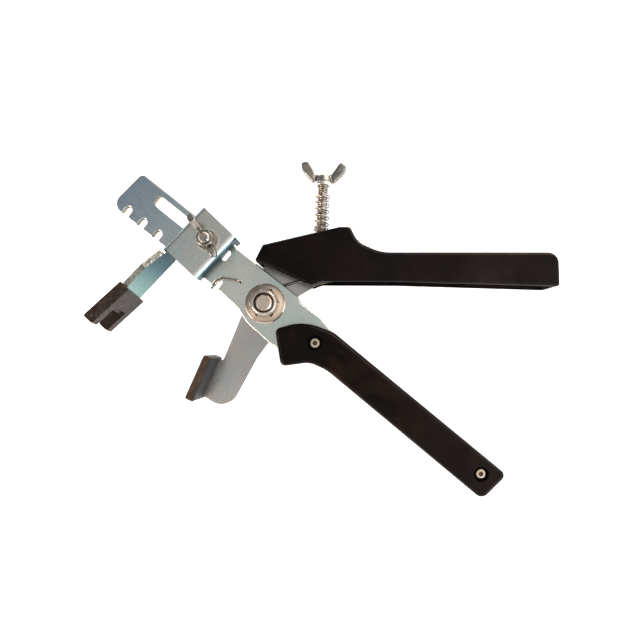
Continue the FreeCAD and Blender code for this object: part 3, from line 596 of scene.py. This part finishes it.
# a rounded, cast-looking copy of a CAD node: merged, cut, wings filled out, remeshed and relaxed
def softCopy(node, name, sizes, axisPoint, axis, cutPlane=None):
    mesh = frame["nodes"][node].data.copy()
    work = bmesh.new()
    work.from_mesh(mesh)
    bmesh.ops.remove_doubles(work, verts=work.verts, dist=1e-6)
    if cutPlane is not None:
        point, normal = cutPlane
        geometry = work.verts[:] + work.edges[:] + work.faces[:]
        cut = bmesh.ops.bisect_plane(work, geom=geometry, plane_co=point, plane_no=normal, clear_outer=True)
        rim = [item for item in cut["geom_cut"] if isinstance(item, bmesh.types.BMEdge)]
        bmesh.ops.holes_fill(work, edges=rim, sides=0)
    work.normal_update()
    low = [min(vertex.co[i] for vertex in work.verts) for i in range(3)]
    high = [max(vertex.co[i] for vertex in work.verts) for i in range(3)]
    for vertex in work.verts:
        offset = vertex.co - axisPoint
        radius = (offset - axis * offset.dot(axis)).length
        share = min(max((radius - sizes["bossRadius"]) / sizes["blend"], 0.0), 1.0)
        vertex.co += vertex.normal * share * sizes["fuller"]
    work.to_mesh(mesh)
    work.free()
    piece = addPiece(name, mesh)
    remesh = piece.modifiers.new("remesh", "REMESH")
    remesh.mode = "VOXEL"
    remesh.voxel_size = sizes["voxel"]
    relax = piece.modifiers.new("relax", "SMOOTH")
    relax.factor = 0.5
    relax.iterations = sizes["rounds"]
    depsgraph = bpy.context.evaluated_depsgraph_get()
    final = bpy.data.meshes.new_from_object(piece.evaluated_get(depsgraph), depsgraph=depsgraph)
    piece.modifiers.clear()
    piece.data = final
    for vertex in final.vertices:             # nothing leaves the plain solid's own box
        vertex.co = [min(max(vertex.co[i], low[i]), high[i]) for i in range(3)]
    final.materials.clear()
    final.materials.append(wingCasting)
    for face in final.polygons:
        face.use_smooth = True
    return piece


def makeWingScrew(sizes):
    cutPlane = (screwSeat + screwDown * sizes["underHead"], screwDown)
    head = softCopy("wing_screw", "wingScrewHead", castShape, screwSeat, screwDown, cutPlane)
    place = frameAt(screwSeat + screwDown * sizes["length"], -screwDown)
    shaft = makeThread("wingScrewThread", sizes, place, threadSteel)
    for piece in (head, shaft):
        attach(piece, "adjuster")
        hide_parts("wing_screw")


makeWingScrew(m6Thread)


def makeWingNut():
    nut = softCopy("wing_nut", "wingNutCasting", castShape, clampCentre, Vector((0, 0, 1)))
    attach(nut, "clamp_nut")
    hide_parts("wing_nut")


makeWingNut()
print("wing screw, wing nut and compression spring made")

# return spring round the pivot sleeve; its legs are routes in mm from the pivot. The bar leg goes up through
# the bar's small hole, over its face and down into the last notch: along the bar, across it, height
returnSpring = {"wire": 0.75 * mm, "coil": 8.0 * mm, "low": -4.25 * mm, "high": -2.45 * mm,
                "startTurn": 105.4, "sweep": 689.3, "step": 15.0,
                "barLeg": [(15.8, 1.5, -2.45), (18.6, 0.6, -2.45), (18.8, 0.6, 0), (19.0, 0.6, 2.35),
                           (21.8, -0.4, 2.35), (26.4, -3.2, 2.35), (27.6, -4.0, 2.35), (28.0, -6.0, 2.35),
                           (29.15, -8.0, 0.3), (29.15, -9.6, 0.1), (29.15, -12.4, 0.1)],
                "leverLeg": [(17.6, 13.2, -4.25), (20.5, 13.6, -4.25), (27.0, 11.8, -4.05)]}


def barPlace(alongTip, across, height):
    return pivot + (barTip * alongTip + barSide * across + Vector((0, 0, height))) * mm


def coilPlace(sizes, turn, height):
    angle = math.radians(turn)
    return pivot + Vector((math.cos(angle) * sizes["coil"], math.sin(angle) * sizes["coil"], height))


# round wire through the points, as a mesh from a NURBS path
def sweepWire(name, points, radius, body):
    curve = bpy.data.curves.new(name + "Path", "CURVE")
    curve.dimensions = "3D"
    curve.bevel_depth = radius
    curve.bevel_resolution = 4
    curve.use_fill_caps = True
    spline = curve.splines.new("NURBS")
    spline.points.add(len(points) - 1)
    for target, point in zip(spline.points, points):
        target.co = (*point, 1)
    spline.order_u = 3
    spline.use_endpoint_u = True
    spline.resolution_u = 6
    holder = bpy.data.objects.new(name + "Holder", curve)
    bpy.context.scene.collection.objects.link(holder)
    depsgraph = bpy.context.evaluated_depsgraph_get()
    mesh = bpy.data.meshes.new_from_object(holder.evaluated_get(depsgraph), depsgraph=depsgraph)
    bpy.data.objects.remove(holder)
    mesh.materials.clear()
    mesh.materials.append(shadedReturnWire)
    piece = addPiece(name, mesh)
    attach(piece, body)
    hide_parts("return_spring")


def makeReturnSpring(sizes):
    count = int(sizes["sweep"] / sizes["step"])
    points = []
    for index in range(count + 1):
        share = index / count
        height = sizes["low"] + share * (sizes["high"] - sizes["low"])
        points.append(coilPlace(sizes, sizes["startTurn"] + share * sizes["sweep"], height))
    points += [barPlace(*place) for place in sizes["barLeg"]]
    sweepWire("returnSpringCoil", points, sizes["wire"], "body")
    start = coilPlace(sizes, sizes["startTurn"], sizes["low"])
    leg = [pivot + Vector(place) * mm for place in sizes["leverLeg"]]
    sweepWire("returnSpringLeg", [start, start.lerp(leg[0], 0.5)] + leg, sizes["wire"], "lever")


makeReturnSpring(returnSpring)
print("return spring made")

# floor, light and camera
studio = {"floorSize": 3.0, "floorDrop": 0.4 * mm, "cameraAt": (41.8 * mm, -25.9 * mm, 281.5 * mm),
          "sensor": 36.0, "lens": 28.8, "shift": (-0.044, 0.06)}


def makeFloor(sizes):
    mesh = bpy.data.meshes.new("floor")
    half = sizes["floorSize"] / 2
    corners = [(-half, -half, 0), (half, -half, 0), (half, half, 0), (-half, half, 0)]
    mesh.from_pydata(corners, [], [(0, 1, 2, 3)])
    floor = bpy.data.objects.new("paleFloor", mesh)
    bpy.context.scene.collection.objects.link(floor)
    floor.location.z = -sizes["floorDrop"]
    material = bpy.data.materials.new("matteWhitePaper")
    material.use_nodes = True
    shader = material.node_tree.nodes["Principled BSDF"]
    shader.inputs["Base Color"].default_value = toLinear("#f4f4f4")
    shader.inputs["Roughness"].default_value = 0.9
    shader.inputs["Emission Color"].default_value = toLinear("#ffffff")
    shader.inputs["Emission Strength"].default_value = 0.7
    mesh.materials.append(material)


def makeLight(name, place, target, size, power, hexColour):
    data = bpy.data.lights.new(name, "AREA")
    data.shape = "RECTANGLE"
    data.size, data.size_y = size
    data.energy = power
    data.color = toLinear(hexColour)[:3]
    light = bpy.data.objects.new(name, data)
    bpy.context.scene.collection.objects.link(light)
    light.location = place
    light.rotation_euler = (Vector(target) - Vector(place)).to_track_quat("-Z", "Y").to_euler()


# a bright band low down gives the bevels their rims, the grey ceiling keeps flat faces calm,
# and the sky is darker to the upper left and stronger to the right
def makeWorld():
    world = bpy.data.worlds.new("softStudio")
    world.use_nodes = True
    tree = world.node_tree
    background = tree.nodes["Background"]
    coords = addNode(tree, "ShaderNodeTexCoord").outputs["Generated"]
    split = addNode(tree, "ShaderNodeSeparateXYZ", {"Vector": coords})
    band = addNode(tree, "ShaderNodeValToRGB", {"Fac": split.outputs["Z"]},
                   [(0.0, "#ffffff"), (0.38, "#f2f6f8"), (0.62, "#d3d8d8"),
                    (1.0, "#d6d8d6")]).outputs["Color"]
    upperLeft = addNode(tree, "ShaderNodeVectorMath", {0: coords, 1: (-0.62, 0.62, 0.2)},
                        operation="DOT_PRODUCT").outputs["Value"]
    shade = addNode(tree, "ShaderNodeValToRGB", {"Fac": upperLeft},
                    [(0.25, "#ffffff"), (0.45, "#dfe2e4"), (0.6, "#9ca6b0")]).outputs["Color"]
    sky = addNode(tree, "ShaderNodeMix", {0: 1.0, 6: band, 7: shade}, **multiplied).outputs[2]
    rightward = addNode(tree, "ShaderNodeMapRange",
                        {"Value": split.outputs["X"], "From Min": 0.12, "From Max": 0.42, "To Min": 1.0,
                         "To Max": 1.9}).outputs[0]
    tree.links.new(rightward, background.inputs["Strength"])
    tree.links.new(sky, background.inputs["Color"])
    bpy.context.scene.world = world


def makeCamera(sizes):
    data = bpy.data.cameras.new("camera")
    data.sensor_width = sizes["sensor"]
    data.lens = sizes["lens"]
    data.shift_x, data.shift_y = sizes["shift"]
    data.clip_start = 0.01
    camera = bpy.data.objects.new("camera", data)
    bpy.context.scene.collection.objects.link(camera)
    camera.location = pivot + Vector(sizes["cameraAt"])
    bpy.context.scene.camera = camera


makeFloor(studio)
makeWorld()
makeLight("warmSoftbox", (-0.85, -0.5, 0.45), (-0.03, 0, 0.01), (0.5, 0.35), 13.0, "#ffeedd")
makeLight("coolSoftbox", (0.75, -0.55, 0.36), (0, 0, 0.01), (0.6, 0.4), 3.6, "#e6f2ff")
makeLight("topSoftbox", (0.5, 0.85, 0.5), (0, 0, 0.01), (0.6, 0.3), 9.0, "#fff0e4")
makeCamera(studio)
bpy.context.scene.view_settings.view_transform = "Standard"
print("stage, light and camera set")
